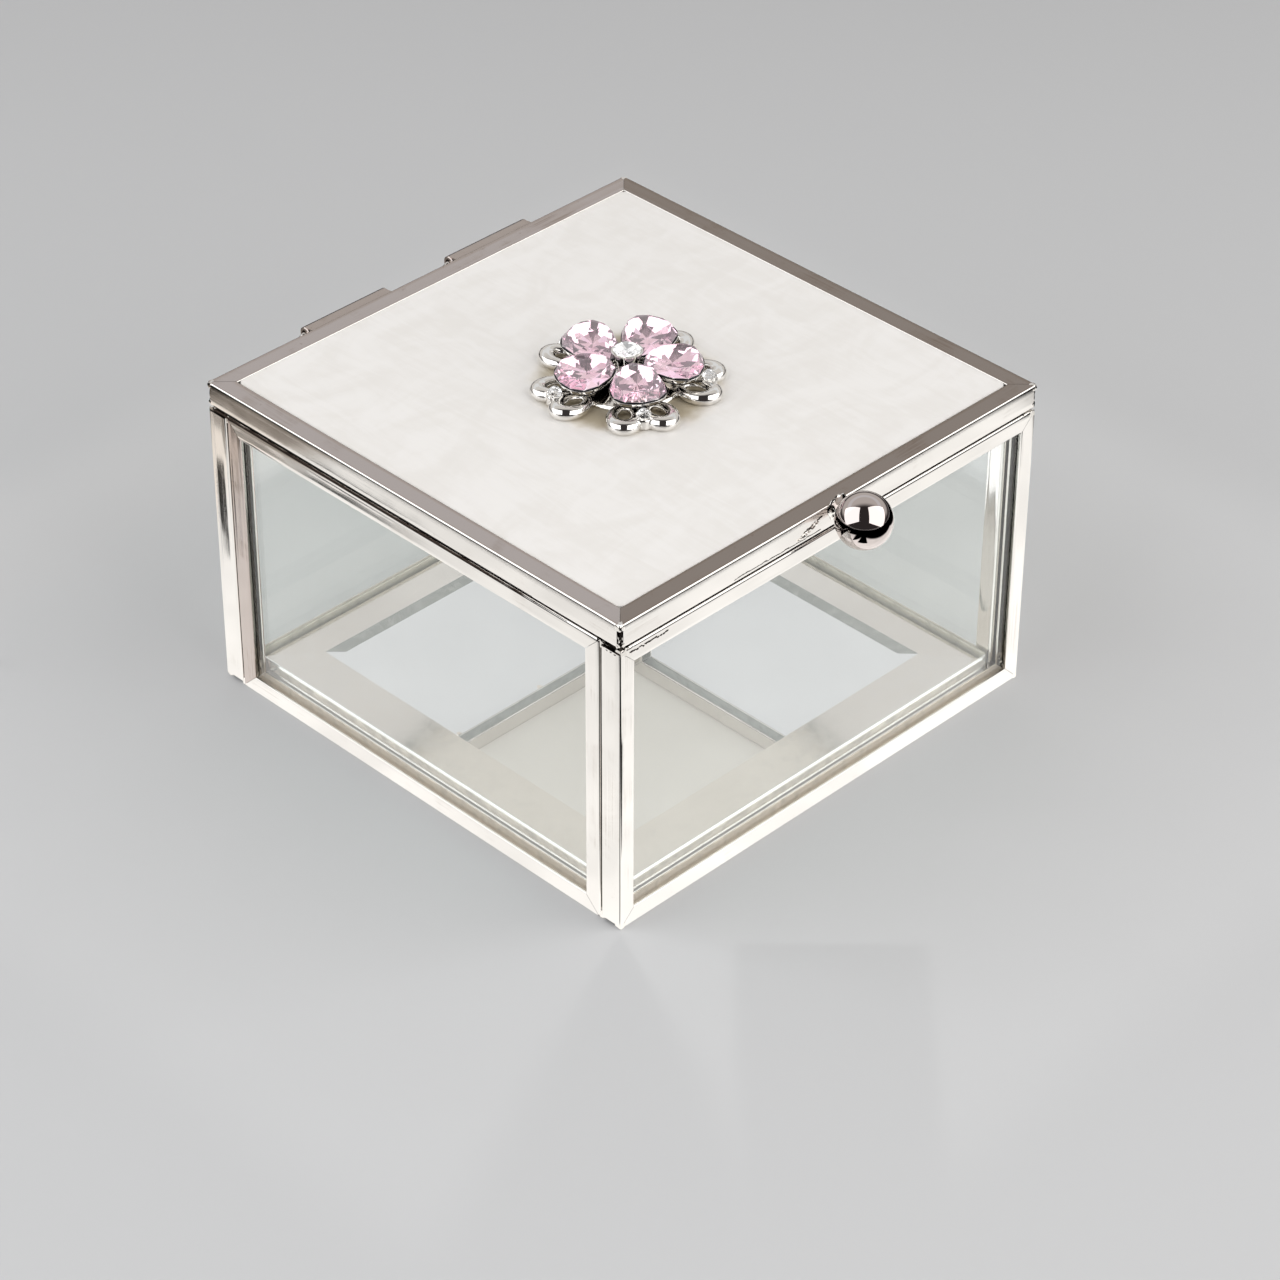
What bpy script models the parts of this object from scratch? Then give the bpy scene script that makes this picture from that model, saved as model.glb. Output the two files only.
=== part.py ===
"""Hinged glass trinket box: four glass walls and a mirror floor edged in folded nickel channel,
an enamel-topped lid on two wire hinges, a ball knob and a crystal flower ornament.

Frame: +Z up, the box stands on Z = 0, the knob faces -Y and the hinges are at +Y.
The origin is under the middle of the footprint. Sizes below are in millimetres.
"""

import math

import bmesh
import bpy
from mathutils import Matrix, Vector

MM = 0.001
WELD = 1e-4  # points closer than this are one point

# Driving dimensions of the box
SIDE = 100.0  # outside width and depth of the base and of the lid
BASE_HEIGHT = 57.0
SEAM = 0.4  # gap between the closed lid and the base
LID_HEIGHT = 4.6
GAP = 0.3  # clearance between neighbouring pieces

# Folded channel that edges every pane
SHEET = 0.5  # thickness of the folded metal
WEB = 4.4  # width across the channel's back on a wall
WALL_FLANGE = 3.3  # how far a wall channel reaches over its pane
LID_FLANGE = 3.7
FOLD_RADIUS = 0.6  # outside radius of the folds
MITRE_GAP = GAP / math.sqrt(2)
SMOOTH_ANGLE = math.radians(35)  # a crease sharper than this stays sharp

# Glass
PANE_THICKNESS = WEB - 2 * (SHEET + GAP)
PANE_BEVEL = 2.4  # width of the ground bevel, hidden inside the channel
PANE_EDGE = 1.6  # thickness left at the edge of a bevelled pane

# Floor: an angle frame that carries a card and a bevelled mirror, with felt below
FELT_THICKNESS = 0.9
FLOOR_RAIL_BOTTOM = 1.2
FLOOR_RAIL_TOP = 5.9
FLOOR_LEDGE = 3.4  # inward reach of the angle's lower leg
CARD_THICKNESS = 0.5
MIRROR_THICKNESS = 3.0
MIRROR_BEVEL = 8.0
MIRROR_EDGE = 2.0
FELT_MARGIN = 6.0  # bare border left around the felt

# Lid filling
ENAMEL_THICKNESS = 1.8
LINER_THICKNESS = 0.9

# Hinges: a tube on the lid, and a wire through it whose ends are soldered to the base
TUBE_LENGTH = 19.0
TUBE_RADIUS = 1.3
TUBE_BORE = 0.8
HINGE_OFFSET = 17.0  # distance of each hinge from the middle
WIRE_RADIUS = 0.5
WIRE_OVERHANG = 1.2  # how far the wire shows past each end of its tube
WIRE_LEG = 6.2
WIRE_BEND = 1.2  # size of the bend where a leg turns into the tube
WIRE_CORNER = 0.36  # how far that bend cuts its corner
WIRE_SIDES = 8
TUBE_SIDES = 16
TUBE_TOP_DROP = 0.3  # the tube's top lies this far below the lid's top

# Knob
BALL_RADIUS = 4.9
BALL_LIFT = 60.9  # height of the ball's centre
COLLAR_LENGTH = 0.4
COLLAR_RADIUS = 2.4
COLLAR_SHOULDER = 0.2  # length of the collar's full-width part
COLLAR_TIP = 1.8  # radius where the collar meets the ball

# Flower ornament
FLOWER_X = 1.2  # the ornament sits slightly to the right of the lid's middle
FLOWER_TURN = math.radians(236.7)  # direction of the first petal, from +X
PETALS = 5
PETAL_CENTRE = 7.9
PETAL_LENGTH = 9.8
PETAL_WIDTH = 9.5
PETAL_TAPER = 0.2  # how much narrower a petal is at its inner end
PETAL_SHIFT = 1.0  # how far the widest part lies outward of the petal's middle
PETAL_SIDES = 14
CUP_WALL = 0.45
CUP_FLOOR = 0.4
CUP_DEPTH = 1.5
CUP_SLOPE = 0.9  # how much smaller the cup is at its foot than at its rim
CRYSTAL_LIFT = 0.05  # how far a crystal's edge stands above its cup's rim
GIRDLE = 0.3  # height of that upright edge
CROWN_HEIGHT = 1.9
CROWN_BREAK = 0.6  # share of the crown's height taken by its lower row of facets
CROWN_STEP = 1.5  # inward reach of the lower row of facets
TABLE_INSET = 3.0  # inward reach of the flat top facet
HUB_RADIUS = 9.9
HUB_RIM = 1.0
HUB_HEIGHT = 2.6
HUB_SIDES = 20
LOOP_CENTRE = 12.8
LOOP_SPREAD = math.radians(13.5)  # half the angle between the two loops of a lobe
LOOP_LENGTH = 5.8  # size of a loop, along the middle of its section
LOOP_WIDTH = 4.2
LOOP_POINTS = 16
LOOP_SIDES = 8
LOOP_OUTER = 1.3  # half the width of a loop's section at its outer end
LOOP_INNER = 0.6
LOOP_RISE = 1.0  # half the height of a loop's section
STONE_RADIUS = 1.05
STONE_CENTRE = 14.0
STONE_GIRDLE = 0.3
STONE_HEIGHT = 0.8
STONE_SIDES = 8
STONE_TABLE = 0.55  # width of a stone's flat top, as a share of its whole width
SEAT_LOW = 0.2  # underside of the cast seat of an accent stone
SEAT_HIGH = 1.9
SEAT_LIP = 0.5
COLLET_RADIUS = 2.75
COLLET_FOOT = 1.6
COLLET_WALL = 0.3
COLLET_HEIGHT = 3.6
COLLET_SIDES = 20
CENTRE_GIRDLE = 0.5
CENTRE_STONE_HEIGHT = 0.9
CENTRE_STONE_SIDES = 10

# Worked out from the dimensions above
HALF = SIDE / 2
WALL_INSIDE = HALF - WEB
LID_BOTTOM = BASE_HEIGHT + SEAM
LID_TOP = LID_BOTTOM + LID_HEIGHT
ENAMEL_TOP = LID_TOP - SHEET - GAP
HINGE_Y = HALF + GAP + TUBE_RADIUS
HINGE_Z = LID_TOP - TUBE_TOP_DROP - TUBE_RADIUS
BALL_Y = -(HALF + GAP + COLLAR_LENGTH + GAP + BALL_RADIUS)
ORNAMENT_BOTTOM = ENAMEL_TOP + GAP
CUP_BOTTOM = ORNAMENT_BOTTOM + HUB_HEIGHT + GAP
ROUND = 24  # sides of a turned piece, unless it says otherwise


# ---------------------------------------------------------------- materials


def material(name, colour, roughness, metallic=0.0, transmission=0.0):
    made = bpy.data.materials.new(name)
    made.use_nodes = True
    shader = made.node_tree.nodes["Principled BSDF"]
    shader.inputs["Base Color"].default_value = (*colour, 1.0)
    shader.inputs["Roughness"].default_value = roughness
    shader.inputs["Metallic"].default_value = metallic
    shader.inputs["Transmission Weight"].default_value = transmission
    return made


def all_materials():
    return {
        "nickel": material("nickel", (0.80, 0.77, 0.74), 0.12, metallic=1.0),
        "glass": material("glass", (0.93, 0.97, 0.95), 0.02, transmission=1.0),
        "mirror": material("mirror", (0.86, 0.89, 0.87), 0.03, metallic=1.0),
        "enamel": material("enamel", (0.83, 0.80, 0.74), 0.22),
        "liner": material("liner", (0.78, 0.76, 0.66), 0.70),
        "felt": material("felt", (0.02, 0.02, 0.02), 0.95),
        "card": material("card", (0.05, 0.05, 0.05), 0.90),
        "pink_crystal": material("pink_crystal", (0.90, 0.50, 0.62), 0.05, transmission=0.6),
        "clear_crystal": material("clear_crystal", (0.95, 0.95, 0.97), 0.05, transmission=0.6),
    }


# ---------------------------------------------------------------- mesh helpers


def finish(name, shape, look, parent, smooth=False):
    """Turns a bmesh in world millimetres into an object, placed relative to its parent's origin."""
    bmesh.ops.recalc_face_normals(shape, faces=shape.faces)
    bmesh.ops.translate(shape, vec=-parent.location / MM, verts=shape.verts)
    bmesh.ops.scale(shape, vec=(MM, MM, MM), verts=shape.verts)
    mesh = bpy.data.meshes.new(name)
    shape.to_mesh(mesh)
    shape.free()
    mesh.materials.append(look)
    if smooth:
        mesh.shade_smooth()
        mesh.set_sharp_from_angle(angle=SMOOTH_ANGLE)
    made = bpy.data.objects.new(name, mesh)
    made.parent = parent
    bpy.context.scene.collection.objects.link(made)
    return made


def bridge(shape, rings, capped=True):
    """Joins rings of points into one skin, and closes both ends."""
    loops = [[shape.verts.new(point) for point in ring] for ring in rings]
    for lower, upper in zip(loops, loops[1:]):
        for i in range(len(lower)):
            j = (i + 1) % len(lower)
            shape.faces.new((lower[i], lower[j], upper[j], upper[i]))
    if capped:
        shape.faces.new(reversed(loops[0]))
        shape.faces.new(loops[-1])
    return loops


def block(shape, low, high):
    """Adds a box between two corners."""
    size = Vector(high) - Vector(low)
    place = Matrix.Translation((Vector(low) + Vector(high)) / 2) @ Matrix.Diagonal((*size, 1))
    bmesh.ops.create_cube(shape, size=1.0, matrix=place)


def circle(radius, height, sides=ROUND):
    angles = [2 * math.pi * i / sides for i in range(sides)]
    return [Vector((radius * math.cos(a), radius * math.sin(a), height)) for a in angles]


def turned(shape, profile, place=Matrix(), sides=ROUND):
    """Adds a solid turned about local Z from (radius, height) pairs, moved by a matrix."""
    rings = [[place @ point for point in circle(r, z, sides)] for r, z in profile]
    bridge(shape, rings)


def tube_along(shape, route, half_width_at, rise, sides):
    """Sweeps an oval section along a closed flat loop of points; half_width_at takes the point's index."""
    up = Vector((0, 0, 1))
    count = len(route)
    angles = [2 * math.pi * k / sides for k in range(sides)]
    rings = []
    for i, point in enumerate(route):
        across = (route[(i + 1) % count] - route[i - 1]).normalized().cross(up)
        wide = half_width_at(i)
        rings.append([point + across * wide * math.cos(a) + up * rise * math.sin(a) for a in angles])
    bridge(shape, rings + [rings[0]], capped=False)
    bmesh.ops.remove_doubles(shape, verts=shape.verts, dist=WELD)


# ---------------------------------------------------------------- folded channel


def folded_section(web, flange):
    """Outline of a U channel as (depth from the panel's edge, position across the web)."""
    half = web / 2
    inside = half - SHEET
    corner = [
        (FOLD_RADIUS * (1 - math.cos(a)), half - FOLD_RADIUS * (1 - math.sin(a)))
        for a in (0.0, math.pi / 4, math.pi / 2)
    ]
    upper = corner + [(flange, half), (flange, inside), (SHEET, inside)]
    lower = [(depth, -across) for depth, across in reversed(upper)]
    return upper + lower


def angle_section(height, ledge):
    """Outline of an L angle as (depth from the outer face, height above its foot)."""
    return [(0, 0), (ledge, 0), (ledge, SHEET), (SHEET, SHEET), (SHEET, height), (0, height)]


def mitred_bar(shape, section, length, place):
    """Sweeps a section along local X with both ends mitred at 45 degrees.

    Local Y is the depth from the panel's edge, local Z runs across the web.
    """
    rings = []
    for end in (-1, 1):
        reach = [end * (length / 2 - depth - MITRE_GAP) for depth, _ in section]
        rings.append([place @ Vector((x, d, z)) for x, (d, z) in zip(reach, section)])
    bridge(shape, rings)


def panel_frame(prefix, sides, section, width, height, place, look, parent):
    """Four mitred bars around a rectangular panel that lies in the local XY plane."""
    for i, side in enumerate(sides):
        length, edge = (width, height / 2) if i % 2 == 0 else (height, width / 2)
        turn = Matrix.Rotation(i * math.pi / 2, 4, "Z") @ Matrix.Translation((0, -edge, 0))
        shape = bmesh.new()
        mitred_bar(shape, section, length, place @ turn)
        finish(f"{prefix}_{side}", shape, look, parent, smooth=True)


def bevelled_plate(shape, size, thickness, edge, bevel, place):
    """A flat plate whose upper face is ground down to a thin edge all round."""
    rings = []
    for inset, level in ((0, 0), (0, edge), (bevel, thickness)):
        x, y = size[0] / 2 - inset, size[1] / 2 - inset
        corners = ((-x, -y), (x, -y), (x, y), (-x, y))
        rings.append([place @ Vector((cx, cy, level)) for cx, cy in corners])
    bridge(shape, rings)


# ---------------------------------------------------------------- base


def upright(turn_degrees, centre, height):
    """Places a panel's local XY plane upright: local X runs along the wall, local Z faces outward."""
    stand = Matrix.Rotation(math.radians(turn_degrees), 4, "Z") @ Matrix.Rotation(math.pi / 2, 4, "X")
    return Matrix.Translation((*centre, height / 2)) @ stand


def walls(looks, parent):
    """Front and back walls span the full width, and the side walls stand between them."""
    mid = HALF - WEB / 2
    side_length = 2 * (WALL_INSIDE - GAP)
    layout = {
        "front": (SIDE, 0, (0, -mid), "right", "left"),
        "right": (side_length, 90, (mid, 0), "back", "front"),
        "back": (SIDE, 180, (0, mid), "left", "right"),
        "left": (side_length, 270, (-mid, 0), "front", "back"),
    }
    section = folded_section(WEB, WALL_FLANGE)
    inset = 2 * (SHEET + GAP)
    for name, (length, turn, centre, far, near) in layout.items():
        place = upright(turn, centre, BASE_HEIGHT)
        bars = ("bottom_rail", f"{far}_post", "top_rail", f"{near}_post")
        panel_frame(name, bars, section, length, BASE_HEIGHT, place, looks["nickel"], parent)
        pane = bmesh.new()
        seat = place @ Matrix.Translation((0, 0, -PANE_THICKNESS / 2))
        size = (length - inset, BASE_HEIGHT - inset)
        bevelled_plate(pane, size, PANE_THICKNESS, PANE_EDGE, PANE_BEVEL, seat)
        finish(f"{name}_pane", pane, looks["glass"], parent)


def floor(looks, parent):
    outer = WALL_INSIDE - GAP
    section = angle_section(FLOOR_RAIL_TOP - FLOOR_RAIL_BOTTOM, FLOOR_LEDGE)
    place = Matrix.Translation((0, 0, FLOOR_RAIL_BOTTOM))
    sides = ("front", "right", "back", "left")
    panel_frame("floor_rail", sides, section, 2 * outer, 2 * outer, place, looks["nickel"], parent)

    tray = outer - SHEET - GAP
    card_low = FLOOR_RAIL_BOTTOM + SHEET + GAP
    card_high = card_low + CARD_THICKNESS
    card = bmesh.new()
    block(card, (-tray, -tray, card_low), (tray, tray, card_high))
    finish("floor_card", card, looks["card"], parent)

    mirror = bmesh.new()
    seat = Matrix.Translation((0, 0, card_high + GAP))
    size = (2 * tray, 2 * tray)
    bevelled_plate(mirror, size, MIRROR_THICKNESS, MIRROR_EDGE, MIRROR_BEVEL, seat)
    finish("mirror_floor", mirror, looks["mirror"], parent)

    felt = bmesh.new()
    reach = HALF - FELT_MARGIN
    block(felt, (-reach, -reach, 0), (reach, reach, FELT_THICKNESS))
    finish("felt_pad", felt, looks["felt"], parent)


# ---------------------------------------------------------------- lid


def lid(looks, parent):
    place = Matrix.Translation((0, 0, LID_BOTTOM + LID_HEIGHT / 2))
    section = folded_section(LID_HEIGHT, LID_FLANGE)
    sides = ("front", "right", "back", "left")
    panel_frame("lid_rail", sides, section, SIDE, SIDE, place, looks["nickel"], parent)

    reach = HALF - SHEET - GAP
    enamel = bmesh.new()
    block(enamel, (-reach, -reach, ENAMEL_TOP - ENAMEL_THICKNESS), (reach, reach, ENAMEL_TOP))
    finish("enamel_panel", enamel, looks["enamel"], parent)

    liner = bmesh.new()
    liner_low = LID_BOTTOM + SHEET + GAP
    block(liner, (-reach, -reach, liner_low), (reach, reach, liner_low + LINER_THICKNESS))
    finish("lid_liner", liner, looks["liner"], parent)


def knob(looks, parent):
    forward = Matrix.Translation((0, -HALF - GAP, BALL_LIFT)) @ Matrix.Rotation(math.pi / 2, 4, "X")
    profile = [(COLLAR_RADIUS, 0), (COLLAR_RADIUS, COLLAR_SHOULDER), (COLLAR_TIP, COLLAR_LENGTH)]
    collar = bmesh.new()
    turned(collar, profile, forward)
    finish("knob_collar", collar, looks["nickel"], parent, smooth=True)

    ball = bmesh.new()
    centre = Matrix.Translation((0, BALL_Y, BALL_LIFT))
    bmesh.ops.create_icosphere(ball, subdivisions=3, radius=BALL_RADIUS, matrix=centre)
    finish("knob_ball", ball, looks["nickel"], parent, smooth=True)


# ---------------------------------------------------------------- hinges


def hinge_tube(name, middle, looks, parent):
    """An open tube along X, soldered to the back of the lid."""
    place = Matrix.Translation((middle, HINGE_Y, HINGE_Z)) @ Matrix.Rotation(math.pi / 2, 4, "Y")
    half = TUBE_LENGTH / 2
    profile = [(TUBE_BORE, -half), (TUBE_RADIUS, -half), (TUBE_RADIUS, half), (TUBE_BORE, half)]
    rings = [[place @ p for p in circle(r, z, TUBE_SIDES)] for r, z in profile]
    tube = bmesh.new()
    bridge(tube, rings + [rings[0]], capped=False)
    bmesh.ops.remove_doubles(tube, verts=tube.verts, dist=WELD)
    finish(name, tube, looks["nickel"], parent, smooth=True)


def wire_leg(middle, side):
    """Points from a leg's foot on the back wall up to its bend into the tube."""
    reach = TUBE_LENGTH / 2 + WIRE_OVERHANG
    back = HALF + GAP + WIRE_RADIUS
    places = (
        (reach, back, -WIRE_LEG),
        (reach, back, -3 * WIRE_BEND),
        (reach, HINGE_Y, -WIRE_BEND),
        (reach - WIRE_CORNER, HINGE_Y, -WIRE_CORNER),
        (reach - WIRE_BEND, HINGE_Y, 0),
    )
    return [Vector((middle + side * x, y, HINGE_Z + z)) for x, y, z in places]


def hinge_wire(name, middle, looks, parent):
    """A wire staple: through the tube, then down the back wall on both sides of it."""
    route = wire_leg(middle, -1) + wire_leg(middle, 1)[::-1]
    angles = [2 * math.pi * k / WIRE_SIDES for k in range(WIRE_SIDES)]
    last = len(route) - 1
    rings = []
    for i, point in enumerate(route):
        along = (route[min(i + 1, last)] - route[max(i - 1, 0)]).normalized()
        across = along.cross(Vector((0, 1, 0))).normalized() * WIRE_RADIUS
        other = along.cross(across)
        rings.append([point + across * math.cos(a) + other * math.sin(a) for a in angles])
    wire = bmesh.new()
    bridge(wire, rings)
    finish(name, wire, looks["nickel"], parent, smooth=True)


# ---------------------------------------------------------------- flower ornament


def around(turn, radius, height):
    """Local frame on the lid: X points away from the flower's middle at the given turn."""
    spin = Matrix.Rotation(turn, 4, "Z")
    return Matrix.Translation((FLOWER_X, 0, 0)) @ spin @ Matrix.Translation((radius, 0, height))


def petal_turns():
    return [FLOWER_TURN + 2 * math.pi * i / PETALS for i in range(PETALS)]


def petal_outline(grow, height):
    """A rounded drop, narrower towards the flower's middle, at -X."""
    points = []
    for i in range(PETAL_SIDES):
        a = 2 * math.pi * i / PETAL_SIDES
        narrow = 1 - PETAL_TAPER * (1 - math.cos(a)) / 2
        x = (PETAL_LENGTH / 2 + grow) * math.cos(a) + PETAL_SHIFT * math.sin(a) ** 2
        y = (PETAL_WIDTH / 2 + grow) * math.sin(a) * narrow
        points.append(Vector((x, y, height)))
    return points


def petal_rings(levels, place):
    return [[place @ point for point in petal_outline(grow, z)] for grow, z in levels]


def stone_seat(turn):
    shape = bmesh.new()
    profile = [(STONE_RADIUS + SEAT_LIP, SEAT_LOW), (STONE_RADIUS + SEAT_LIP / 2, SEAT_HIGH)]
    turned(shape, profile, around(turn, STONE_CENTRE, ORNAMENT_BOTTOM), sides=STONE_SIDES)
    return shape


def lace_loop(turn):
    """A rounded ring, fat at its outer end."""
    steps = [2 * math.pi * k / LOOP_POINTS for k in range(LOOP_POINTS)]
    place = around(turn, LOOP_CENTRE, ORNAMENT_BOTTOM + LOOP_RISE)
    oval = [Vector((LOOP_LENGTH * math.cos(a), LOOP_WIDTH * math.sin(a), 0)) / 2 for a in steps]

    def half_width_at(k):
        outward = (1 + math.cos(steps[k])) / 2
        return LOOP_INNER + (LOOP_OUTER - LOOP_INNER) * outward

    shape = bmesh.new()
    tube_along(shape, [place @ point for point in oval], half_width_at, LOOP_RISE, LOOP_SIDES)
    return shape


def filigree(looks, parent):
    """A cast lace base: a domed hub and five lobes, each of two loops that meet at a stone seat."""
    hub_rings = [(HUB_RADIUS, 0), (HUB_RADIUS, HUB_RIM), (HUB_RADIUS / 2, HUB_HEIGHT)]
    hub = bmesh.new()
    turned(hub, hub_rings, around(0, 0, ORNAMENT_BOTTOM), sides=HUB_SIDES)
    base = finish("filigree_base", hub, looks["nickel"], parent, smooth=True)

    additions = []
    for turn in petal_turns():
        additions += [stone_seat(turn), lace_loop(turn - LOOP_SPREAD), lace_loop(turn + LOOP_SPREAD)]
    for i, shape in enumerate(additions):
        addition = finish(f"filigree_addition_{i}", shape, looks["nickel"], parent)
        addition.hide_render = True
        addition.display_type = "WIRE"
        join = base.modifiers.new("join", "BOOLEAN")
        join.operation = "UNION"
        join.object = addition


def petals(looks, parent):
    rim = CUP_BOTTOM + CUP_DEPTH
    seat = CUP_BOTTOM + CUP_FLOOR
    inner_foot = -CUP_SLOPE - CUP_WALL
    cup_levels = ((-CUP_SLOPE, CUP_BOTTOM), (CUP_WALL, rim), (0, rim), (inner_foot, seat))
    girdle = rim + CRYSTAL_LIFT
    crown = girdle + GIRDLE
    crystal_levels = (
        (inner_foot - GAP, seat + GAP),
        (-GAP, girdle),
        (-GAP, crown),
        (-CROWN_STEP, crown + CROWN_HEIGHT * CROWN_BREAK),
        (-TABLE_INSET, crown + CROWN_HEIGHT),
    )
    for i, turn in enumerate(petal_turns()):
        place = around(turn, PETAL_CENTRE, 0)
        cup = bmesh.new()
        bridge(cup, petal_rings(cup_levels, place))
        finish(f"petal_cup_{i + 1}", cup, looks["nickel"], parent, smooth=True)
        crystal = bmesh.new()
        bridge(crystal, petal_rings(crystal_levels, place))
        finish(f"petal_crystal_{i + 1}", crystal, looks["pink_crystal"], parent)


def centre_setting(looks, parent):
    middle = around(0, 0, CUP_BOTTOM)
    inner = COLLET_RADIUS - COLLET_WALL
    seat = COLLET_HEIGHT - CENTRE_STONE_HEIGHT
    collet = bmesh.new()
    profile = [(COLLET_FOOT, 0), (COLLET_RADIUS, COLLET_HEIGHT), (inner, COLLET_HEIGHT), (inner, seat)]
    turned(collet, profile, middle, sides=COLLET_SIDES)
    finish("centre_collet", collet, looks["nickel"], parent, smooth=True)

    radius = inner - GAP
    girdle = seat + GAP + CENTRE_GIRDLE
    table = (radius * STONE_TABLE, girdle + CENTRE_STONE_HEIGHT)
    stone = bmesh.new()
    turned(stone, [(radius, seat + GAP), (radius, girdle), table], middle, sides=CENTRE_STONE_SIDES)
    finish("centre_stone", stone, looks["clear_crystal"], parent)


def accent_stones(looks, parent):
    level = ORNAMENT_BOTTOM + SEAT_HIGH + GAP
    table = (STONE_RADIUS * STONE_TABLE, STONE_HEIGHT)
    profile = [(STONE_RADIUS, 0), (STONE_RADIUS, STONE_GIRDLE), table]
    for i, turn in enumerate(petal_turns()):
        stone = bmesh.new()
        turned(stone, profile, around(turn, STONE_CENTRE, level), sides=STONE_SIDES)
        finish(f"accent_stone_{i + 1}", stone, looks["clear_crystal"], parent)


# ---------------------------------------------------------------- assembly


def empty(name, location):
    made = bpy.data.objects.new(name, None)
    made.location = Vector(location) * MM
    bpy.context.scene.collection.objects.link(made)
    return made


def main():
    for old in list(bpy.data.objects):
        bpy.data.objects.remove(old, do_unlink=True)
    looks = all_materials()
    base = empty("base_origin", (0, 0, 0))
    hinge_axis = empty("lid_hinge_axis", (0, HINGE_Y, HINGE_Z))
    walls(looks, base)
    floor(looks, base)
    lid(looks, hinge_axis)
    knob(looks, hinge_axis)
    for side, middle in (("left", -HINGE_OFFSET), ("right", HINGE_OFFSET)):
        hinge_tube(f"{side}_hinge_tube", middle, looks, hinge_axis)
        hinge_wire(f"{side}_hinge_wire", middle, looks, base)
    filigree(looks, hinge_axis)
    petals(looks, hinge_axis)
    centre_setting(looks, hinge_axis)
    accent_stones(looks, hinge_axis)


main()
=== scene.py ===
"""Looks of the glass trinket box: polished nickel channel, bevelled glass, mirror floor, pearly
enamel lid and a crystal flower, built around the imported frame.

Shapes are worked out in millimetres in the frame's own axes: +Z up, the knob faces -Y.
"""

import math

import bmesh
import bpy
from mathutils import Matrix, Vector, noise


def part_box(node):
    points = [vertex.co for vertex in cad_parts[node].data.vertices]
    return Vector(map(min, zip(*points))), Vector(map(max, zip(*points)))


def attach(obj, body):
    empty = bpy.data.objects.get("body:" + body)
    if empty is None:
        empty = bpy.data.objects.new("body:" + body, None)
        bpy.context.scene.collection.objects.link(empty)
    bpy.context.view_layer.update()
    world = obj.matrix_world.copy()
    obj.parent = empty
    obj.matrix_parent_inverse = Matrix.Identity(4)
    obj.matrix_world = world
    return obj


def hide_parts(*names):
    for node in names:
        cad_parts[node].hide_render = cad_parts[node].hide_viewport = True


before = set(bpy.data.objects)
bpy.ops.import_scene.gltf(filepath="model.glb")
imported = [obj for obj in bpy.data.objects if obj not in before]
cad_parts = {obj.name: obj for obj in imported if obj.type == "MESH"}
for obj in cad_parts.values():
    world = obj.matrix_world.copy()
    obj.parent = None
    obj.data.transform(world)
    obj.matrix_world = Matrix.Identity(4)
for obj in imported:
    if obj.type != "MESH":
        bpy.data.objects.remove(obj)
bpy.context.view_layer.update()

MM = 0.001
SMOOTH_ANGLE = math.radians(32)

# Folded channel
SHEET = 0.5
FOLD_RADIUS = 0.42
FOLD_STEPS = 6
CROWN = 0.03  # how far a channel's flat faces bow
MITRE_GAP = 0.05
BLUNT = 0.7  # how far the outer end of a mitre is cut back, for solder to fill
RING_SPACING = 4.0  # distance between the rings of a bar along its length
WOBBLE = 0.012  # hand-made unevenness of the folded metal
PINCH = 0.002  # how much a bar narrows where it is uneven
INSIDE = 0.3  # a point farther than this from the outer faces lies inside the channel
TOP_FACE = 0.9  # a face whose normal rises more than this counts as a top face

WIRE_RADIUS = 0.5

# In turn order, from the knob's side
SIDES = ("front", "right", "back", "left")
CORNERS = ((-1, -1), (1, -1), (1, 1), (-1, 1))

# Flower
PETALS = 5
FLOWER_TURN = math.radians(236.7)
STONE_SIDES = 11
PETAL_LENGTH = 10.5
PETAL_WIDTH = 10.7
PETAL_REACH = 7.9  # from the flower's middle to a petal's
PETAL_LEANS = (2.1, 0.6, -6.0, -7.5, 1.8)  # degrees; a negative lean lifts the outer end
LOBE_REACH = 12.75
LOBE_SPREAD = math.radians(13.5)  # half the angle between the two loops of a lobe
ACCENT_REACH = 14.0


# ---------------------------------------------------------------- reading the frame


def mm_box(*nodes):
    """Lowest and highest corner of the CAD nodes together, in millimetres."""
    boxes = [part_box(node) for node in nodes]
    low = Vector(min(box[0][axis] for box in boxes) for axis in range(3))
    high = Vector(max(box[1][axis] for box in boxes) for axis in range(3))
    return low / MM, high / MM


# ---------------------------------------------------------------- node helpers


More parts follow.
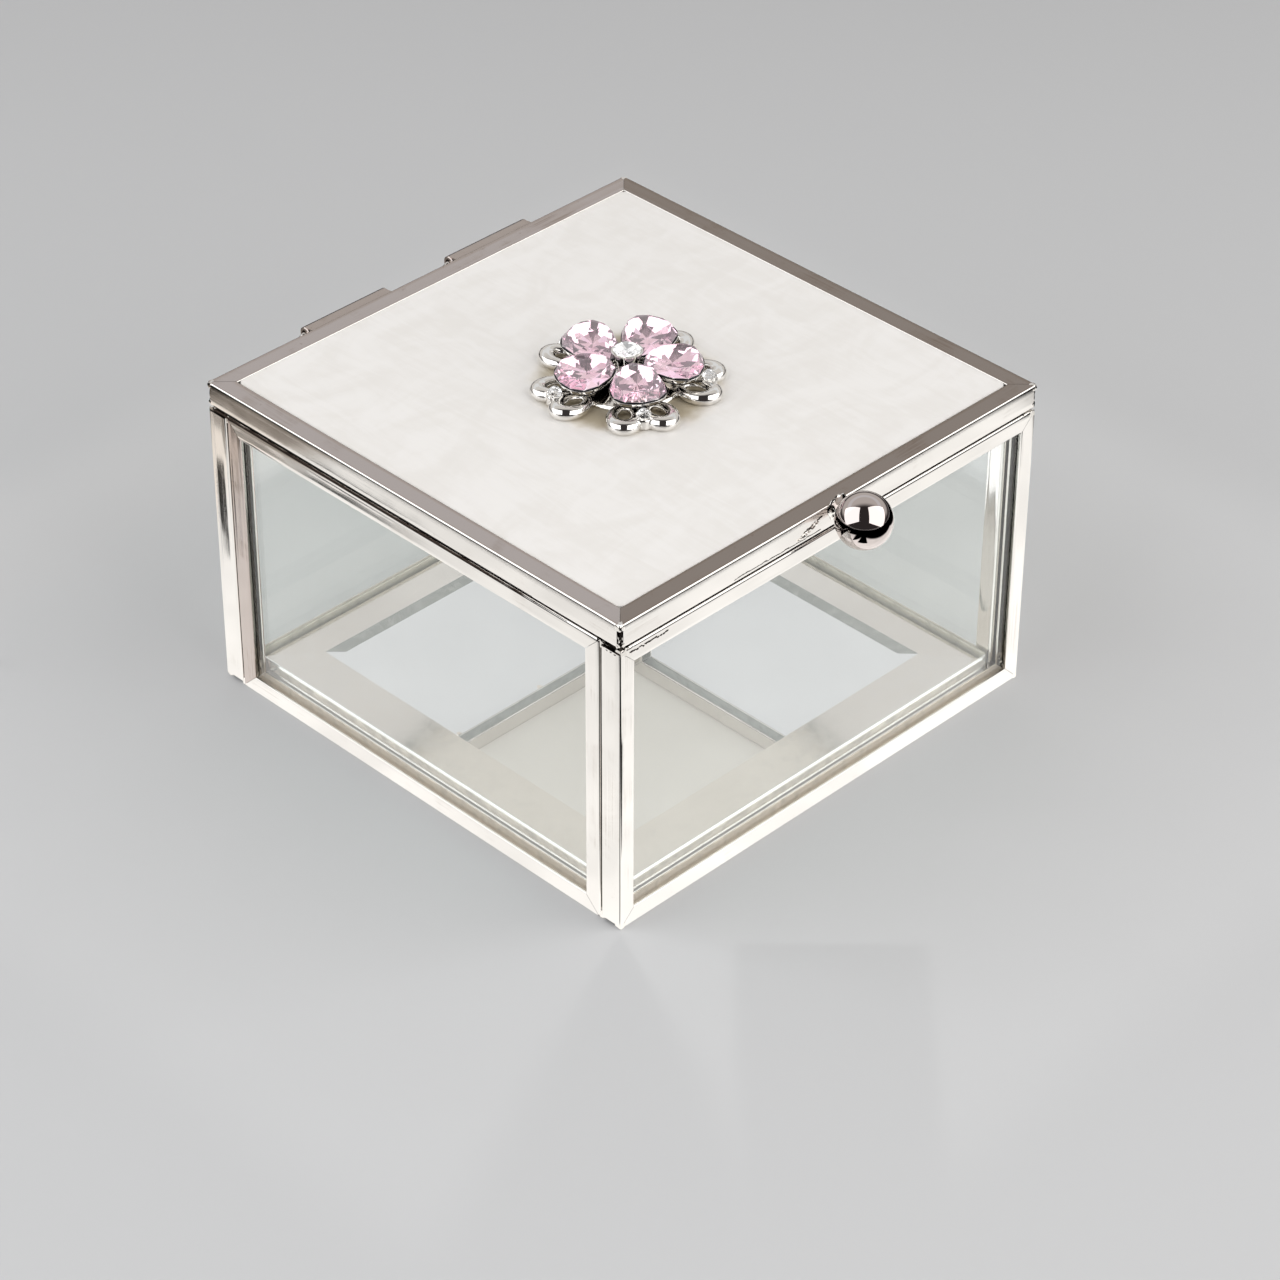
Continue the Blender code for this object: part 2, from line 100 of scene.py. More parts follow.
class Nodes:
    """Short ways to add and link shader nodes of one material or world."""

    def __init__(self, tree):
        self.tree = tree
        self.tree.nodes.clear()

    def add(self, kind, values=None, **settings):
        made = self.tree.nodes.new(kind)
        for key, value in settings.items():
            setattr(made, key, value)
        for key, value in (values or {}).items():
            self.put(made.inputs[key], value)
        return made

    def put(self, socket, value):
        if isinstance(value, bpy.types.NodeSocket):
            self.tree.links.new(value, socket)
        else:
            socket.default_value = value

    def math(self, operation, first, second=0.0, third=0.0):
        made = self.add("ShaderNodeMath", {0: first, 1: second, 2: third}, operation=operation)
        return made.outputs[0]

    def blend(self, factor, first, second):
        made = self.add("ShaderNodeMix", data_type="RGBA")
        for index, value in ((0, factor), (6, first), (7, second)):
            self.put(made.inputs[index], value)
        return made.outputs[2]

    def noise(self, vector, scale, detail=2.0, roughness=0.5, distortion=0.0):
        values = {"Vector": vector, "Scale": scale, "Detail": detail, "Roughness": roughness}
        values["Distortion"] = distortion
        return self.add("ShaderNodeTexNoise", values).outputs["Fac"]

    def ramp(self, value, low, high, to_low=0.0, to_high=1.0):
        values = {"Value": value, "From Min": low, "From Max": high, "To Min": to_low, "To Max": to_high}
        return self.add("ShaderNodeMapRange", values, interpolation_type="SMOOTHSTEP").outputs[0]

    def stretch(self, vector, scale):
        return self.add("ShaderNodeMapping", {"Vector": vector, "Scale": scale}).outputs[0]

    def bump(self, height, distance, normal=None):
        values = {"Height": height, "Distance": distance, "Strength": 1.0}
        if normal is not None:
            values["Normal"] = normal
        return self.add("ShaderNodeBump", values).outputs[0]

    def object_coordinates(self):
        return self.add("ShaderNodeTexCoord").outputs["Object"]

    def principled(self, values):
        return self.add("ShaderNodeBsdfPrincipled", values).outputs[0]

    def output(self, shader, kind="ShaderNodeOutputMaterial"):
        self.add(kind, {"Surface": shader})


def new_material(name):
    made = bpy.data.materials.new(name)
    made.use_nodes = True
    return made, Nodes(made.node_tree)


def colour(red, green, blue):
    return (red, green, blue, 1.0)


# ---------------------------------------------------------------- materials


def nickel_look(name, tint, tarnish, roughness, waviness=1.0, soil=0.3):
    """Polished nickel plate: slightly wavy, faint lines along the fold, spots of tarnish."""
    made, n = new_material(name)
    place = n.object_coordinates()
    grain = n.add("ShaderNodeAttribute", attribute_name="grain").outputs["Vector"]
    patches = n.noise(place, 90.0, 4.0, 0.6, 0.6)
    streaks = n.noise(n.stretch(grain, (0.05, 2.6, 1.0)), 1.0, 3.0)
    worn = n.math("MULTIPLY", n.ramp(patches, 0.52, 0.75), n.ramp(streaks, 0.35, 0.75))
    specks = n.ramp(n.noise(place, 900.0, 2.0), 0.70, 0.78)
    soiled = n.math("MAXIMUM", n.math("MULTIPLY", worn, soil), n.math("MULTIPLY", specks, 0.5 * soil))
    base = n.blend(soiled, colour(*tint), colour(*tarnish))
    polish = n.ramp(patches, 0.3, 0.8, roughness, roughness * 2.2)
    rough = n.math("ADD", polish, n.math("MULTIPLY", soiled, 0.12))
    waves = n.noise(place, 110.0, 1.0)
    lines = n.noise(n.stretch(grain, (0.02, 5.0, 1.0)), 1.0, 2.0)
    first = n.bump(waves, 0.00005 * waviness)
    second = n.bump(lines, 0.000003 * waviness, first)
    values = {"Base Color": base, "Metallic": 1.0, "Roughness": rough, "Normal": second}
    n.output(n.principled(values))
    return made


def silver_look(name, tint, roughness, skin=0.00003, worn=0.82, glow=0.0):
    """Bright cast or silvered metal with a soft uneven skin; worn darkens its patches, and glow makes the
    metal glow though it is no lamp: painted light.
    """
    made, n = new_material(name)
    place = n.object_coordinates()
    uneven = n.noise(place, 500.0, 3.0)
    base = n.blend(n.ramp(uneven, 0.45, 0.8), colour(*tint), colour(*(worn * part for part in tint)))
    rough = n.ramp(uneven, 0.3, 0.7, roughness, roughness * 2)
    values = {"Base Color": base, "Metallic": 1.0, "Roughness": rough, "Normal": n.bump(uneven, skin)}
    values.update({"Emission Color": base, "Emission Strength": glow})
    n.output(n.principled(values))
    return made


def clear_glass(name, tint, smudge):
    """Clear glass with a faint film of wiped smudges. Lamps shine through it."""
    made, n = new_material(name)
    place = n.object_coordinates()
    film = n.noise(n.stretch(place, (60.0, 60.0, 25.0)), 1.0, 4.0, 0.6, 0.8)
    smudged = [0.985 * part for part in tint]
    shaded = [0.97 * part for part in tint]
    values = {
        "Base Color": n.blend(n.ramp(film, 0.4, 0.8), colour(*tint), colour(*smudged)),
        "Roughness": n.ramp(film, 0.45, 0.85, 0.0, smudge),
        "IOR": 1.5,
        "Transmission Weight": 1.0,
    }
    glass = n.principled(values)
    clear = n.add("ShaderNodeBsdfTransparent", {"Color": colour(*shaded)}).outputs[0]
    lamp = n.add("ShaderNodeLightPath").outputs["Is Shadow Ray"]
    n.output(n.add("ShaderNodeMixShader", {0: lamp, 1: glass, 2: clear}).outputs[0])
    return made


def crystal_look(name, tint, tint_deep):
    """Cut glass, deeper in colour here and there as facets overlap."""
    made, n = new_material(name)
    clouds = n.noise(n.object_coordinates(), 350.0, 2.0)
    values = {
        "Base Color": n.blend(n.ramp(clouds, 0.4, 0.65), colour(*tint), colour(*tint_deep)),
        "Roughness": n.ramp(clouds, 0.4, 0.8, 0.0, 0.02),
        "IOR": 1.56,
        "Transmission Weight": 1.0,
    }
    n.output(n.principled(values))
    return made


def enamel_look(flower, reach):
    """Ivory pearl enamel: swirled brush streaks under a clear coat, amber glue darkened by painted shade
    under the flower, and a faint painted warm shadow round it.
    """
    made, n = new_material("pearl_enamel")
    place = n.object_coordinates()
    swirl = n.noise(n.stretch(place, (55.0, 90.0, 40.0)), 1.0, 5.0, 0.55, 1.6)
    strokes = n.noise(n.stretch(place, (260.0, 45.0, 40.0)), 1.0, 4.0, 0.6, 2.2)
    cloud = n.math("MULTIPLY_ADD", swirl, 0.6, n.math("MULTIPLY", strokes, 0.4))
    base = n.blend(n.ramp(cloud, 0.36, 0.62), colour(0.885, 0.86, 0.825), colour(0.94, 0.92, 0.895))

    # Painted shade: a faint warm shadow round the flower's foot, and under it an olive-brown that is glue
    # and painted shade.
    away = n.add("ShaderNodeVectorMath", {0: place, 1: flower}, operation="DISTANCE").outputs["Value"]
    edge = n.math("MULTIPLY_ADD", n.noise(place, 260.0, 3.0), 0.0035, -0.00175)
    ragged = n.math("ADD", away, edge)
    painted_warm_shadow = n.math("MULTIPLY", n.ramp(ragged, reach * 0.90, reach * 1.06, 1.0, 0.0), 0.16)
    glue_and_painted_shade = n.ramp(ragged, reach * 0.80, reach * 0.98, 1.0, 0.0)
    base = n.blend(painted_warm_shadow, base, colour(0.80, 0.66, 0.44))
    base = n.blend(n.math("MULTIPLY", glue_and_painted_shade, 0.78), base, colour(0.42, 0.34, 0.20))

    values = {
        "Base Color": base,
        "Roughness": n.ramp(cloud, 0.3, 0.7, 0.34, 0.5),
        "Sheen Weight": 0.1,
        "Coat Weight": 0.6,
        "Coat Roughness": 0.12,
        "Normal": n.bump(cloud, 0.00002),
    }
    n.output(n.principled(values))
    return made


def liner_look():
    """Cream paper with short fibres, which glows though it is no lamp: painted light."""
    made, n = new_material("liner_paper_painted_glow")
    place = n.object_coordinates()
    fibres = n.noise(n.stretch(place, (900.0, 400.0, 400.0)), 1.0, 3.0, 0.6, 1.5)
    values = {
        "Base Color": n.blend(fibres, colour(0.64, 0.64, 0.58), colour(0.70, 0.70, 0.64)),
        "Roughness": 0.8,
        "Normal": n.bump(fibres, 0.00003),
        # Painted light: the emission that makes the paper glow.
        "Emission Color": colour(0.93, 0.915, 0.85),
        "Emission Strength": 0.38,
    }
    n.output(n.principled(values))
    return made


def felt_look(name, dark, light, fuzz):
    """Pressed fibres: felt or, with little fuzz, card."""
    made, n = new_material(name)
    place = n.object_coordinates()
    fibres = n.noise(place, 2600.0, 4.0, 0.7, 2.0)
    values = {
        "Base Color": n.blend(n.ramp(fibres, 0.35, 0.7), colour(*dark), colour(*light)),
        "Roughness": 0.95,
        "Sheen Weight": fuzz,
        "Normal": n.bump(fibres, 0.0001),
    }
    n.output(n.principled(values))
    return made


def floor_look():
    """Plain pale matt studio floor."""
    made, n = new_material("studio_floor")
    grain = n.noise(n.object_coordinates(), 3.0, 3.0)
    base = n.blend(grain, colour(0.62, 0.63, 0.64), colour(0.66, 0.665, 0.675))
    n.output(n.principled({"Base Color": base, "Roughness": 0.7}))
    return made


LOOKS = {
    "nickel": nickel_look("nickel_plate", (0.80, 0.775, 0.745), (0.40, 0.33, 0.27), 0.04),
    # The next two are darker copies of the nickel: painted shade on the lid's upward faces, the left wall's
    # back post, the hinge tubes and the hinge solder.
    "nickel_painted_shade": nickel_look("nickel_painted_shade", (0.52, 0.46, 0.43), (0.33, 0.26, 0.21), 0.07, soil=0.9),
    "nickel_painted_deep_shade": nickel_look("nickel_painted_deep_shade", (0.30, 0.25, 0.215), (0.20, 0.14, 0.10), 0.08, soil=0.9),
    "ball": nickel_look("nickel_ball", (0.60, 0.54, 0.52), (0.45, 0.38, 0.34), 0.012, waviness=0.1),
    "solder": nickel_look("solder", (0.80, 0.77, 0.73), (0.10, 0.07, 0.05), 0.06, waviness=2.0, soil=0.8),
    # Dark flux at the mitres, also used for painted shadow lines along the seams.
    "flux_and_painted_shadow": silver_look("flux_residue_and_painted_shadow", (0.035, 0.025, 0.02), 0.25),
    "silver": silver_look("cast_silver", (0.88, 0.86, 0.83), 0.05),
    # The floor rails glow though they are no lamps: painted light. The far copy is also darker: painted
    # shade.
    "floor_rail": silver_look("floor_rail", (0.94, 0.935, 0.93), 0.06, skin=0.0, worn=0.95, glow=0.12),
    "floor_rail_far_painted_shade_and_glow": silver_look("floor_rail_far_painted_shade_and_glow", (0.46, 0.44, 0.38), 0.30, skin=0.0, worn=0.8, glow=0.15),
    # The insides of the sills and heads are darker tinted copies of the metal that glow though they are no
    # lamps: painted shade and painted light.
    "sill_inside_painted_shade_and_glow": silver_look("sill_inside_painted_shade_and_glow", (0.56, 0.49, 0.42), 0.4, worn=0.85, glow=0.30),
    "head_inside_painted_shade_and_glow": silver_look("head_inside_painted_shade_and_glow", (0.52, 0.54, 0.52), 0.4, worn=0.9, glow=0.30),
    "mirror": silver_look("mirror_silver", (0.89, 0.86, 0.87), 0.0, skin=0.0, worn=1.0),
    "mirror_painted_double_reflection": silver_look("mirror_painted_double_reflection", (0.38, 0.38, 0.36), 0.12, skin=0.0, worn=1.35),
    # A painted reflection: the darker band where the silver looks doubled.
    "mirror_bevel": silver_look("mirror_bevel", (0.86, 0.81, 0.795), 0.09, skin=0.0, worn=0.97),
    "mirror_edge": silver_look("mirror_edge", (0.62, 0.64, 0.63), 0.14, worn=0.7),
    # The foils behind the stones glow though they are no lamps: painted light.
    "foil": silver_look("foil", (0.99, 0.94, 0.96), 0.01, skin=0.0, worn=1.0, glow=0.14),
    "bright_foil_painted_glow": silver_look("bright_foil_painted_glow", (0.98, 0.98, 0.98), 0.02, skin=0.0, worn=1.0, glow=0.35),
    "lacquer": silver_look("black_lacquer", (0.03, 0.03, 0.035), 0.2),
    "pane": clear_glass("pane_glass", (0.95, 0.975, 0.965), 0.03),
    "pink": crystal_look("pink_crystal", (1.0, 0.77, 0.86), (0.97, 0.66, 0.80)),
    "clear": crystal_look("clear_crystal", (1.0, 1.0, 1.0), (0.97, 0.98, 1.0)),
    "liner": liner_look(),
    "felt": felt_look("black_felt", (0.012, 0.012, 0.012), (0.045, 0.045, 0.045), 0.4),
    "card": felt_look("black_card", (0.03, 0.03, 0.03), (0.05, 0.05, 0.05), 0.0),
}


# ---------------------------------------------------------------- mesh helpers


def finish(name, shape, looks, body, replaced=(), smooth=True):
    """Turns a bmesh in millimetres into a piece that rides on a body and stands for CAD nodes."""
    bmesh.ops.recalc_face_normals(shape, faces=shape.faces)
    bmesh.ops.scale(shape, vec=(MM, MM, MM), verts=shape.verts)
    mesh = bpy.data.meshes.new(name)
    shape.to_mesh(mesh)
    shape.free()
    for look in looks:
        mesh.materials.append(LOOKS[look])
    if smooth:
        mesh.shade_smooth()
        mesh.set_sharp_from_angle(angle=SMOOTH_ANGLE)
    made = bpy.data.objects.new(name, mesh)
    bpy.context.scene.collection.objects.link(made)
    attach(made, body)
    if replaced:
        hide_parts(*replaced)
    return made


def bridge(shape, rings, closed_route=False):
    """Joins rings of points into one skin; the ends are capped unless the route is closed."""
    loops = [[shape.verts.new(point) for point in ring] for ring in rings]
    pairs = list(zip(loops, loops[1:]))
    if closed_route:
        pairs.append((loops[-1], loops[0]))
    faces = []
    for lower, upper in pairs:
        for i in range(len(lower)):
            j = (i + 1) % len(lower)
            faces.append(shape.faces.new((lower[i], lower[j], upper[j], upper[i])))
    if not closed_route:
        faces.append(shape.faces.new(reversed(loops[0])))
        faces.append(shape.faces.new(loops[-1]))
    return faces


def arc(centre, radius, start, end, steps):
    """Points on a flat arc, angles in degrees."""
    angles = [math.radians(start + (end - start) * i / steps) for i in range(steps + 1)]
    return [(centre[0] + radius * math.cos(a), centre[1] + radius * math.sin(a)) for a in angles]


def turned(shape, profile, place, sides=48, rough=0.0, seed=0.0):
    """Adds a solid turned about local Z from (radius, height) pairs; rough makes its skin lumpy."""
    rings = []
    for radius, height in profile:
        ring = []
        for i in range(sides):
            a = 2 * math.pi * i / sides
            lump = rough * noise.noise(Vector((2 * math.cos(a), 2 * math.sin(a), height * 2 + seed)))
            point = Vector(((radius + lump) * math.cos(a), (radius + lump) * math.sin(a), height))
            ring.append(place @ point)
        rings.append(ring)
    bridge(shape, rings)


def sweep_round(shape, route, section_at):
    """Sweeps a section round a level loop; section_at(i) gives (sideways, upward) pairs for point i."""
    up = Vector((0, 0, 1))
    rings = []
    for i, point in enumerate(route):
        along = (route[(i + 1) % len(route)] - route[i - 1]).normalized()
        side = along.cross(up).normalized()
        rise = side.cross(along).normalized()
        rings.append([point + side * s + rise * r for s, r in section_at(i)])
    bridge(shape, rings, closed_route=True)


def blob(shape, centre, radii, seed, lump=0.22, low=None, high=None):
    """Adds a lump of solder: an uneven ball pressed into a box, if one is given."""
    made = bmesh.ops.create_icosphere(shape, subdivisions=3, radius=1.0)["verts"]
    for vert in made:
        direction = vert.co.copy()
        uneven = 1 + lump * noise.noise(direction * 1.7 + Vector((seed, seed * 0.7, -seed)))
        uneven += lump * 0.5 * noise.noise(direction * 4.1 + Vector((-seed, seed, seed)))
        point = Vector(centre) + Vector(d * r for d, r in zip(direction, radii)) * uneven
        if low is not None:
            point = Vector(min(max(p, a), b) for p, a, b in zip(point, low, high))
        vert.co = point


# ---------------------------------------------------------------- folded channel


def channel_outline(web, flange):
    """Closed outline of a folded U channel as (depth from the panel's edge, place across the web)."""
    half = web / 2
    middle = half - FOLD_RADIUS
    inner_radius = 0.05
    bow = [-0.5, 0.0, 0.5]
    outer_fold = arc((FOLD_RADIUS, middle), FOLD_RADIUS, 180, 90, FOLD_STEPS)
    tip = arc((flange - SHEET / 2, half - SHEET / 2), SHEET / 2, 90, -90, FOLD_STEPS)
    inner_fold = arc((FOLD_RADIUS, middle), inner_radius, 90, 180, FOLD_STEPS // 2)
    span = flange - SHEET / 2 - FOLD_RADIUS
    crest = [(FOLD_RADIUS + span * (b + 1) / 2, half + CROWN * (b * b - 1) * 0.5) for b in bow]
    upper = outer_fold + crest + tip + inner_fold
    lower = [(depth, -across) for depth, across in reversed(upper)]
    back = [(CROWN * b * b, middle * b) for b in bow]
    return upper + lower + back


def angle_outline(height, ledge):
    """Outline of an L angle as (depth from the outer face, height above its foot), edges rounded."""
    edge = SHEET / 2
    heel = 0.3
    top = arc((edge, height - edge), edge, 180, 0, FOLD_STEPS)
    tip = arc((ledge - edge, edge), edge, 90, -90, FOLD_STEPS)
    return [(0.0, heel)] + top + [(SHEET, SHEET)] + tip + [(heel, 0.0)]


def mitred_bar(section, length, place, seed):
    """A bar along local X with both ends mitred; local Y is the depth, local Z runs across the web.

    Its end faces have material 1 and the faces inside the channel have material 3.
    """
    shape = bmesh.new()
    grain = shape.verts.layers.float_vector.new("grain")
    count = max(3, round(length / RING_SPACING))
    unrolled = [0.0]
    for (d0, z0), (d1, z1) in zip(section, section[1:]):
        unrolled.append(unrolled[-1] + math.hypot(d1 - d0, z1 - z0))
    rings = []
    for i in range(count + 1):
        share = 2 * i / count - 1
        ring = []
        for depth, across in section:
            x = share * (length / 2 - max(depth, BLUNT - depth) - MITRE_GAP)
            bend = WOBBLE * noise.noise(Vector((x * 0.12, across * 0.15, seed)))
            ring.append(Vector((x, depth + abs(bend), across * (1 - PINCH * abs(bend)))))
        rings.append(ring)
    faces = bridge(shape, [[place @ point for point in ring] for ring in rings])
    half = max(across for depth, across in section)
    inside = [depth > INSIDE and abs(across) < half - INSIDE for depth, across in section]
    for k, face in enumerate(faces[:-2]):
        if inside[k % len(section)] and inside[(k + 1) % len(section)]:
            face.material_index = 3
    for face in faces[-2:]:
        face.material_index = 1
    shape.verts.ensure_lookup_table()
    for i, ring in enumerate(rings):
        for j, point in enumerate(ring):
            shape.verts[i * len(section) + j][grain] = Vector((point.x, unrolled[j], seed))
    return shape


def panel_frame(nodes, section, width, height, place, body, seed, metals, tops=None, insides=None):
    """Four mitred bars around a panel that lies in the local XY plane, in turn order.

    The mitred ends are dark with flux. metals, tops and insides name the looks of each bar's
    outer faces, its upward faces and the inside of its channel.
    """
    for i, node in enumerate(nodes):
        length, edge = (width, height / 2) if i % 2 == 0 else (height, width / 2)
        turn = Matrix.Rotation(i * math.pi / 2, 4, "Z") @ Matrix.Translation((0, -edge, 0))
        shape = mitred_bar(section, length, place @ turn, seed + i * 3.7)
        if tops:
            bmesh.ops.recalc_face_normals(shape, faces=shape.faces)
            for face in shape.faces:
                if face.normal.z > TOP_FACE:
                    face.material_index = 2
        looks = [metals[i], "flux_and_painted_shadow", (tops or metals)[i], (insides or metals)[i]]
        finish(f"{node}_metal", shape, looks, body, [node])


# ---------------------------------------------------------------- box


WALLS = {
    "front": (0, ("bottom_rail", "right_post", "top_rail", "left_post")),
    "right": (90, ("bottom_rail", "back_post", "top_rail", "front_post")),
    "back": (180, ("bottom_rail", "left_post", "top_rail", "right_post")),
    "left": (270, ("bottom_rail", "front_post", "top_rail", "back_post")),
}


def walls():
    for seed, (wall, (turn, bars)) in enumerate(WALLS.items()):
        nodes = [f"{wall}_{bar}" for bar in bars]
        low, high = mm_box(*nodes)
        size, middle = high - low, (low + high) / 2
        along_x = turn % 180 == 0
        length = size.x if along_x else size.y
        web = size.y if along_x else size.x
        rail_low, rail_high = mm_box(nodes[0])
        section = channel_outline(web, rail_high.z - rail_low.z)
        stand = Matrix.Rotation(math.radians(turn), 4, "Z") @ Matrix.Rotation(math.pi / 2, 4, "X")
        place = Matrix.Translation(middle) @ stand
        # The left wall's back post gets the darker copy of the nickel: painted shade.
        metals = ("nickel", "nickel", "nickel", "nickel_painted_shade" if wall == "left" else "nickel")
        # The insides of the bottom and top rails are darker tinted metal that glows: painted shade and
        # painted light.
        insides = ("sill_inside_painted_shade_and_glow", "nickel", "head_inside_painted_shade_and_glow", "nickel")
        panel_frame(nodes, section, length, size.z, place, "box", seed * 17.0, metals, None, insides)
        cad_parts[f"{wall}_pane"].data.materials[0] = LOOKS["pane"]


def floor_frame():
    nodes = [f"floor_rail_{side}" for side in SIDES]
    low, high = mm_box(*nodes)
    front_low, front_high = mm_box(nodes[0])
    section = angle_outline(high.z - low.z, front_high.y - front_low.y)
    place = Matrix.Translation((0, 0, low.z))
    # The right and back rails get the darker copy: painted shade; all four rails glow: painted light.
    metals = ("floor_rail", "floor_rail_far_painted_shade_and_glow", "floor_rail_far_painted_shade_and_glow", "floor_rail")
    panel_frame(nodes, section, high.x - low.x, high.y - low.y, place, "box", 91.0, metals)
    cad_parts["floor_card"].data.materials[0] = LOOKS["card"]
    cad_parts["felt_pad"].data.materials[0] = LOOKS["felt"]


def mirror_floor():
    """A silvered plate: clear flat middle, warmer ground bevel and a dull edge.

    Along the far bevels the flat shows a narrow darker band, a painted reflection of the silver seen twice.
    """
    low, high = mm_box("mirror_floor")
    edge_height, bevel, arris, twice = 2.0, 8.0, 0.5, 2.6
    levels = [(0.0, low.z), (0.0, low.z + edge_height - arris), (arris, low.z + edge_height)]
    levels += [(bevel, high.z), (bevel + twice, high.z)]
    shape = bmesh.new()
    rings = []
    for inset, z in levels:
        x, y = high.x - inset, high.y - inset
        rings.append([Vector((sx * x, sy * y, z)) for sx, sy in CORNERS])
    faces = bridge(shape, rings)
    sides = len(CORNERS)
    underside = faces[-2]
    for face in faces[: 2 * sides] + [underside]:
        face.material_index = 2
    for face in faces[2 * sides : 3 * sides]:
        face.material_index = 1
    # Painted reflection: the darker band along the right and back bevels.
    right, back = faces[3 * sides + 1 : 3 * sides + 3]
    for face in (right, back):
        face.material_index = 3
    looks = ["mirror", "mirror_bevel", "mirror_edge", "mirror_painted_double_reflection"]
    finish("mirror_plate", shape, looks, "box", ["mirror_floor"], smooth=False)


# ---------------------------------------------------------------- lid


def lid():
    nodes = [f"lid_rail_{side}" for side in SIDES]
    low, high = mm_box(*nodes)
    rail_low, rail_high = mm_box(nodes[0])
    flange = rail_high.y - rail_low.y
    section = channel_outline(high.z - low.z, flange)
    place = Matrix.Translation((0, 0, (low.z + high.z) / 2))
    # The lid's upward faces get darker copies of the nickel, darkest on the front and right: painted shade.
    tops = ("nickel_painted_deep_shade", "nickel_painted_deep_shade", "nickel_painted_shade", "nickel_painted_shade")
    metals = ("nickel",) * 4
    panel_frame(nodes, section, high.x - low.x, high.y - low.y, place, "lid", 140.0, metals, tops)
    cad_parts["lid_liner"].data.materials[0] = LOOKS["liner"]
    enamel(high.x - flange, high.z)


def enamel(opening, flange_top):
    """A poured skin that climbs a little where it meets the metal."""
    low, high = mm_box("enamel_panel")
    level = flange_top - 0.34
    climb = [(0.04, 0.24), (0.12, 0.17), (0.3, 0.09), (0.6, 0.04), (1.1, 0.012), (2.2, 0.0), (12.0, 0.0)]
    levels = [(high.x, low.z), (high.x, high.z), (opening, high.z)]
    levels += [(opening - inset, level + rise) for inset, rise in climb]
    corner_radius, corner_steps = 1.2, 5
    shape = bmesh.new()
    rings = []
    for reach, z in levels:
        near = corner_radius - reach
        ring = []
        for degrees in range(0, 360, 90):
            middle = Matrix.Rotation(math.radians(degrees), 2) @ Vector((near, near))
            corner = arc(middle, corner_radius, degrees + 180, degrees + 270, corner_steps)
            ring += [Vector((x, y, z)) for x, y in corner]
        rings.append(ring)
    bridge(shape, rings)
    finish("enamel_skin", shape, ["enamel"], "lid", ["enamel_panel"])


def knob():
    low, high = mm_box("knob_ball")
    centre, radius = (low + high) / 2, (high.x - low.x) / 2
    forward = Matrix.Rotation(math.pi / 2, 4, "X")
    pole = 0.01
    profile = [(max(r, pole), z) for r, z in arc((0, 0), radius, -90, 90, 48)]
    ball = bmesh.new()
    turned(ball, profile, Matrix.Translation(centre) @ forward, sides=96)
    finish("knob_ball_polished", ball, ["ball"], "lid", ["knob_ball"])

    collar_low, collar_high = mm_box("knob_collar")
    into_rail, into_ball, steps = 0.25, 0.85, 10
    start = Matrix.Translation((centre.x, collar_high.y + into_rail, centre.z)) @ forward
    wide = (collar_high.x - collar_low.x) / 2
    depth = collar_high.y - collar_low.y + into_rail + into_ball
    profile = []
    for i in range(steps + 1):
        profile.append((wide * (1 - 0.5 * math.sin(math.pi / 2 * i / steps)), depth * i / steps))
    collar = bmesh.new()
    turned(collar, profile, start, sides=40, rough=0.55, seed=4.0)
    finish("knob_collar_solder", collar, ["solder"], "lid", ["knob_collar"])


# ---------------------------------------------------------------- hinges


def hinge_tube(side):
    """A tube rolled from sheet, with its seam at the back and softened rims."""
    node = f"{side}_hinge_tube"
    low, high = mm_box(node)
    middle, radius = (low + high) / 2, (high.z - low.z) / 2
    bore, slit, rim = 0.8, 0.14, 0.12
    seam = math.asin(slit / radius) / 2
    steps, half = 28, (high.x - low.x) / 2
    shape = bmesh.new()
    rings = []
    angles = [seam + (2 * math.pi - 2 * seam) * i / steps for i in range(steps + 1)]
    for x, shrink in ((-half, rim), (-half + rim, 0.0), (half - rim, 0.0), (half, rim)):
        outer = [(radius - shrink, a) for a in angles]
        inner = [(bore, a) for a in reversed(angles)]
        ring = [Vector((x, r * math.cos(a), r * math.sin(a))) for r, a in outer + inner]
        rings.append([middle + point for point in ring])
    bridge(shape, rings)
    # The tube gets the darker copy of the nickel: painted shade.
    finish(f"{node}_rolled", shape, ["nickel_painted_shade"], "lid", [node])


def hinge_wire(side):
    """A round wire through the tube, bent down on both sides to the back wall."""
    node = f"{side}_hinge_wire"
    low, high = mm_box(node)
    tube_low, tube_high = mm_box(f"{side}_hinge_tube")
    axis = (tube_low + tube_high) / 2
    reach = (high.x - low.x) / 2 - WIRE_RADIUS
    back = low.y + WIRE_RADIUS
    leave = 3.6  # how far below the axis a leg leaves the wall
    bend, steps = 1.4, 6

    def leg(sign):
        x = axis.x + sign * reach
        foot = [Vector((x, back, z)) for z in (low.z, low.z + 1, axis.z - leave - 0.6, axis.z - leave)]
        rise = []
        for i in range(1, steps):
            share = i / steps
            ease = share * share * (3 - 2 * share)
            y = back + (axis.y - back) * ease
            rise.append(Vector((x, y, axis.z - leave + (leave - bend) * share)))
        turn = []
        for i in range(steps + 1):
            a = math.pi / 2 * i / steps
            inward = bend * (1 - math.cos(a))
            turn.append(Vector((x - sign * inward, axis.y, axis.z - bend * (1 - math.sin(a)))))
        return foot + rise + turn

    route = leg(-1) + leg(1)[::-1]
    section = arc((0, 0), WIRE_RADIUS, 0, 330, 11)
    last = len(route) - 1
    rings = []
    for i, point in enumerate(route):
        along = (route[min(i + 1, last)] - route[max(i - 1, 0)]).normalized()
        across = along.cross(Vector((0, 1, 0))).normalized()
        other = across.cross(along).normalized()
        rings.append([point + across * s + other * r for s, r in section])
    shape = bmesh.new()
    bridge(shape, rings)
    finish(f"{node}_bent", shape, ["nickel"], "box", [node])


# ---------------------------------------------------------------- solder


